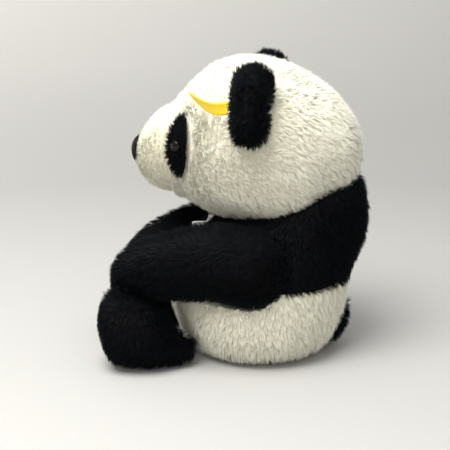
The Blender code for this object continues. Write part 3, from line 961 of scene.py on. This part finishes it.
for n, (s, form) in enumerate(zip(SIDES, arms)):
    body = f"arm_{s}"
    whole = panel(form, body, WHOLE[""])
    flow = toward((0, -1.0, -0.45))
    furnish(body, whole, body, LIMB, flow, blacks, [f"arm_{s}_skin"], 10 + n, [torso])

for n, (s, form) in enumerate(zip(SIDES, legs)):
    body = f"leg_{s}"
    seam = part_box(f"sole_{s}")[1].y
    sliced(form, [((0, seam, 0), (0, 1, 0))])
    leg = panel(form, body, lambda p: p[:, 1] > seam)
    sole = panel(form, f"sole_{s}", lambda p: p[:, 1] <= seam)
    flow = toward((0, -0.5, -1))
    furnish(body, leg, body, LIMB, flow, blacks, [f"leg_{s}_skin"], 20 + n, [torso])
    flow = toward((0, 0, -1))
    furnish(f"sole_{s}", sole, body, SOLE, flow, blacks, [f"sole_{s}"], 22 + n)

for n, (s, form) in enumerate(zip(SIDES, ears)):
    hinge = Vector(JOINTS[f"ear_{s}_bend"]["pos_m"])
    seam = reach(f"ear_{s}_front", HEAD_BACK)
    body = f"ear_{s}"
    sliced(form, [(HEAD_BACK * seam, HEAD_BACK)])
    flow = away(hinge)
    front = panel(form, body + "_front", lambda p: p @ back_axis <= seam)
    rear = panel(form, body + "_back", lambda p: p @ back_axis > seam)
    furnish(body + "_front", front, body, EAR, flow, blacks, [f"ear_{s}_front"], 30 + n)
    furnish(body + "_back", rear, body, EAR, flow, blacks, [f"ear_{s}_back"], 32 + n)

whole = panel(tail, "tail", WHOLE[""])
furnish("tail", whole, "tail", TAIL, toward((0, 0.4, -1)), blacks, ["tail"], 40)

# ---------- face ----------


def direction_at(path, i):
    return (path[min(i + 1, len(path) - 1)] - path[max(i - 1, 0)]).normalized()


def tube(name, path, radius, sides=8):
    """A closed round thread along a path."""
    bm = bmesh.new()
    loops = []
    for i, point in enumerate(path):
        ahead = direction_at(path, i)
        side = side if loops else ahead.orthogonal().normalized()
        side = (side - ahead * side.dot(ahead)).normalized()
        other = ahead.cross(side)
        size = radius * (0.5 if i in (0, len(path) - 1) else 1.0)
        turns = [2 * pi * k / sides for k in range(sides)]
        loops.append([bm.verts.new(point + (side * cos(t) + other * sin(t)) * size) for t in turns])
    for near, far in zip(loops, loops[1:]):
        for i in range(sides):
            j = (i + 1) % sides
            bm.faces.new((near[i], near[j], far[j], far[i]))
    bm.faces.new(loops[0][::-1])
    bm.faces.new(loops[-1])
    bmesh.ops.recalc_face_normals(bm, faces=bm.faces)
    return from_bmesh(name, bm)


def fused(name, objs, look, body, nodes):
    """Several meshes as one piece on a body."""
    bm = bmesh.new()
    for obj in objs:
        bm.from_mesh(obj.data)
        drop(obj)
    out = from_bmesh(name, bm)
    out.data.materials.append(look)
    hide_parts(*nodes)
    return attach(out, body)


def to_row(point):
    """From the head's own frame to the row frame."""
    return HEAD_PIVOT + HEAD_SIDE * point[0] + HEAD_BACK * point[1] + HEAD_UP * point[2]


def own(point):
    """From the row frame to the head's own frame."""
    step = Vector(point) - HEAD_PIVOT
    return Vector((step.dot(HEAD_SIDE), step.dot(HEAD_BACK), step.z))


STITCHES = 25
STITCH_STEPS = 8
STITCH_RADIUS = 0.95 * MM
NOSE_SINK = 4.0 * MM  # the nose's edge lies this far behind its CAD back, in the muzzle's pile
NOSE_LEAN = 3.0 * MM  # how far its top edge goes back with the muzzle


def stitched_nose():
    """A padded nose of satin stitches that run from its top edge down over the front."""
    points = np.array([own(p) for p in nodes_points(["nose"])])
    low, high = points.min(axis=0), points.max(axis=0)
    middle, half = (low + high) / 2, (high - low) / 2
    threads = []
    depth = high[1] - low[1] + NOSE_SINK - 0.6 * MM
    for i in range(STITCHES):
        across = -1 + 2 * (i + 0.5) / STITCHES
        tall = (1 - abs(across) ** 2.4) ** 0.5
        top, bottom = 0.85 * tall, -1.0 * tall * (1 - 0.25 * abs(across))
        path = []
        for k in range(STITCH_STEPS + 1):
            z = top + (bottom - top) * k / STITCH_STEPS
            bulge = max(0.0, 1 - across**2 * 0.85 - z**2 * 0.85) ** 0.5
            y = high[1] + NOSE_SINK - depth * (0.2 + 0.87 * bulge)
            y += NOSE_LEAN * max(0.0, z) ** 2
            x = middle[0] + half[0] * 1.12 * across
            path.append(to_row((x, y, middle[2] + half[2] * (0.3 + 1.3 * z))))
        threads.append(tube("thread", path, STITCH_RADIUS))
    return fused("nose_stitches", threads, THREAD, "head", ["nose"])


stitched_nose()


def lathe(name, centre, aim, profile, look, body, nodes, steps=40):
    """A turned piece. The profile gives (radius, distance along the aim), from the front backwards."""
    turn = aim.to_track_quat("Z", "Y").to_matrix()
    bm = bmesh.new()
    loops = []
    layer = bm.verts.layers.float.new("radius")
    widest = max(r for r, _ in profile)
    for r, along in profile:
        if r < 1e-6:
            loops.append([bm.verts.new(centre + aim * along)])
        else:
            turns = [2 * pi * k / steps for k in range(steps)]
            ring = [turn @ Vector((r * cos(t), r * sin(t), along)) for t in turns]
            loops.append([bm.verts.new(centre + p) for p in ring])
        for v in loops[-1]:
            v[layer] = r / widest
    for near, far in zip(loops, loops[1:]):
        for k in range(steps):
            j = (k + 1) % steps
            a = [near[k], near[j]] if len(near) > 1 else [near[0]]
            b = [far[j], far[k]] if len(far) > 1 else [far[0]]
            bm.faces.new(a + b)
    bmesh.ops.recalc_face_normals(bm, faces=bm.faces)
    obj = from_bmesh(name, bm)
    obj.data.materials.append(look)
    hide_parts(*nodes)
    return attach(obj, body)


EYE_HEAD = 4.7 * MM  # depth of the eye's front part; behind it comes the shank
DOME = 4.4 * MM
SHANK_RADIUS = 1.5 * MM


def make_eye(s):
    """A domed safety eye with a rolled rim and its shank."""
    points = nodes_points([f"eye_{s}"])
    washer = nodes_points([f"eye_washer_{s}"])
    aim = Vector(points.mean(axis=0) - washer.mean(axis=0)).normalized()
    along = points @ np.array(aim)
    front = along.max()
    offset = points - np.outer(along, np.array(aim))
    head_part = offset[along > front - EYE_HEAD]
    centre_flat = head_part.mean(axis=0)
    radius = np.linalg.norm(head_part - centre_flat, axis=1).max()
    centre = Vector(centre_flat) + aim * (front - EYE_SINK)
    dome = [(radius * 0.94 * sin(a), -DOME * (1 - cos(a))) for a in np.linspace(0, pi / 2, 12)]
    rim = [(radius * 1.0, -4.5 * MM), (radius * 1.02, -4.8 * MM), (radius * 0.96, -5.2 * MM)]
    shank = [(SHANK_RADIUS, -5.3 * MM), (SHANK_RADIUS, -16.0 * MM), (0.0, -16.2 * MM)]
    lathe(f"eye_{s}_dome", centre, aim, dome + rim + shank, EYE, "head", [f"eye_{s}"])


for s in SIDES:
    make_eye(s)
    NODES[f"eye_washer_{s}"].data.materials.clear()
    NODES[f"eye_washer_{s}"].data.materials.append(NYLON)


def ribbon(name, path, across, width, thickness, look, body, nodes):
    """A closed woven strip along a path, ribbed, with its width along the given directions."""
    bm = bmesh.new()
    layer = bm.verts.layers.float.new("ribs")
    rows = []
    columns = 7
    for i, (point, side) in enumerate(zip(path, across)):
        up = direction_at(path, i).cross(side).normalized()
        row = []
        for face_side in (1, -1):
            for k in range(columns):
                u = -1 + 2 * k / (columns - 1)
                selvedge = 1.25 if k in (0, 1, columns - 2, columns - 1) else 1.0
                lift = thickness * 0.5 * face_side * selvedge
                v = bm.verts.new(point + side * (u * width / 2) + up * lift)
                v[layer] = float(i % 2)
                row.append(v)
        rows.append(row)
    ring = list(range(columns)) + list(range(2 * columns - 1, columns - 1, -1))
    for near, far in zip(rows, rows[1:]):
        for a, b in zip(ring, ring[1:] + ring[:1]):
            bm.faces.new((near[a], near[b], far[b], far[a]))
    for row in (rows[0], rows[-1]):
        for k in range(columns - 1):
            bm.faces.new((row[k], row[k + 1], row[columns + k + 1], row[columns + k]))
    bmesh.ops.recalc_face_normals(bm, faces=bm.faces)
    obj = from_bmesh(name, bm)
    obj.data.materials.append(look)
    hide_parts(*nodes)
    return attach(obj, body)


LABEL_WIDTH, LABEL_THICKNESS, LABEL_STRETCH = 12.5 * MM, 0.7 * MM, 1.08
LABEL_SAG, LABEL_RISE = 4.5 * MM, 5.0 * MM
LABEL_TURN, LABEL_TWIST = radians(8), radians(66)


def ear_label():
    """The short blank ribbon on the left ear: it sags, then rises and twists towards its end."""
    points = np.unique(nodes_points(["ear_label"]).round(6), axis=0)
    order = np.argsort(points @ back_axis)
    tip = Vector(points[order[:4]].mean(axis=0))
    root = Vector(points[order[-4:]].mean(axis=0))
    ahead = tip - root
    steps = 64
    path, across = [], []
    upright = ahead.cross(Vector((1, 0, 0))).normalized()
    sideways = upright.cross(ahead).normalized()
    for i in range(steps + 1):
        t = i / steps
        height = LABEL_RISE * t * t - LABEL_SAG * sin(pi * t)
        turn = LABEL_TURN + LABEL_TWIST * t
        path.append(root + ahead * LABEL_STRETCH * t + Vector((0, 0, height)))
        across.append(upright * cos(turn) + sideways * sin(turn))
    size = (LABEL_WIDTH, LABEL_THICKNESS)
    return ribbon("ear_label_ribbon", path, across, *size, YELLOW, "ear_left", ["ear_label"])


ear_label()


LOOP_WIDTH, LOOP_THICKNESS = 6.0 * MM, 0.8 * MM


def hanging_loop():
    """The blank strip that hangs from under the chin and bends forwards between the arms."""
    low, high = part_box("hanging_loop")
    middle = (low + high) / 2
    steps = 40
    path, across = [], []
    start = Vector((middle.x, high.y + 8.0 * MM, high.z + 4.0 * MM))
    bend = Vector((middle.x, high.y + 7.0 * MM, low.z + 3.0 * MM))
    end = Vector((middle.x + 1.0 * MM, low.y + 5.0 * MM, low.z + 2.5 * MM))
    for i in range(steps + 1):
        t = i / steps
        point = start * (1 - t) ** 2 + bend * 2 * t * (1 - t) + end * t**2
        path.append(point + Vector((0.8 * MM * sin(6 * t), 0, 0.5 * MM * sin(9 * t))))
        across.append(Vector((0.45, 0.9 * (1 - t), 0.9 * t)).normalized())
    size = (LOOP_WIDTH, LOOP_THICKNESS)
    return ribbon("hanging_loop_ribbon", path, across, *size, WHITE_RIBBON, "torso", ["hanging_loop"])


hanging_loop()

for cutter in (head_hull, *arm_hulls, *leg_hulls, *forms):
    drop(cutter)

# ---------- stage ----------


SWEEP = [(0.6, 0.0), (1.4, 0.0), (2.0, 0.06), (2.6, 0.3), (3.1, 0.8), (3.4, 1.6), (3.5, 3.0)]
SWEEP_STEPS = 64


def paper_look():
    """Paper with painted light and shade: a little darker to the back, paler out towards the wall."""
    look = Look("paper", 0.9)
    parted = look.node("ShaderNodeSeparateXYZ")
    look.feed(parted.inputs[0], look.place)
    painted_side_light = look.between(parted.outputs["Y"], 0.0, 1.0, -1.0, 1.0)
    distance = look.node("ShaderNodeVectorMath", operation="LENGTH")
    look.feed(distance.inputs[0], look.place)
    out = look.between(distance.outputs["Value"], 0.0, 1.0, 0.8, 2.6)
    # painted light and shade: floor and wall are lighter towards -Y and darker towards +Y, and the wall
    # is painted paler than the floor
    floor = look.mix(painted_side_light, (0.51, 0.497, 0.481), (0.33, 0.326, 0.321))
    wall = look.mix(painted_side_light, (0.98, 0.955, 0.925), (0.56, 0.545, 0.53))
    look.set(Base_Color=look.mix(out, floor, wall))
    return look.material


def stage():
    """A pale sweep all round that rises to a wall."""
    bm = bmesh.new()
    turns = [2 * pi * k / SWEEP_STEPS for k in range(SWEEP_STEPS)]
    rings = [[bm.verts.new((r * cos(t), r * sin(t), z)) for t in turns] for r, z in SWEEP]
    bm.faces.new(rings[0])
    for near, far in zip(rings, rings[1:]):
        for k in range(SWEEP_STEPS):
            j = (k + 1) % SWEEP_STEPS
            bm.faces.new((near[k], near[j], far[j], far[k]))
    bmesh.ops.recalc_face_normals(bm, faces=bm.faces)
    sweep = from_bmesh("sweep", bm)
    sweep.data.materials.append(paper_look())
    sweep.location.z = -0.2 * MM
    sweep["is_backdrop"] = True


stage()


LIGHT_TARGET = Vector((0, 0, 0.12))


def area(name, place, size, power, colour):
    light = bpy.data.lights.new(name, "AREA")
    light.shape, light.size, light.energy, light.color = "DISK", size, power, colour
    obj = bpy.data.objects.new(name, light)
    SCENE.collection.objects.link(obj)
    obj.location = place
    obj.rotation_euler = (LIGHT_TARGET - Vector(place)).to_track_quat("-Z", "Y").to_euler()
    obj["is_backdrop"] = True


area("key", (0.55, -0.4, 1.35), 1.0, 32.0, (1.0, 1.0, 0.97))
area("fill", (1.5, 0.2, 0.6), 1.3, 7.0, (1.0, 1.0, 0.98))
SCENE.view_settings.view_transform = "Standard"
world = bpy.data.worlds.new("soft light")
SCENE.world = world
world.use_nodes = True
world.node_tree.nodes["Background"].inputs[0].default_value = (0.99, 1.0, 0.99, 1.0)
world.node_tree.nodes["Background"].inputs[1].default_value = 0.92

CAMERA_AZIMUTH = radians(90.0)
CAMERA_RISE = radians(13.7)
CAMERA_DISTANCE = 1.1
CAMERA_TARGET = Vector((0.0, -0.037, 0.116))
CAMERA_ANGLE = radians(21.54)


def camera():
    data = bpy.data.cameras.new("camera")
    data.angle = CAMERA_ANGLE
    obj = bpy.data.objects.new("camera", data)
    SCENE.collection.objects.link(obj)
    level = cos(CAMERA_RISE)
    back = Vector((sin(CAMERA_AZIMUTH) * level, -cos(CAMERA_AZIMUTH) * level, sin(CAMERA_RISE)))
    obj.location = CAMERA_TARGET + back * CAMERA_DISTANCE
    obj.rotation_euler = (-back).to_track_quat("-Z", "Y").to_euler()
    SCENE.camera = obj


camera()

low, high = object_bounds()
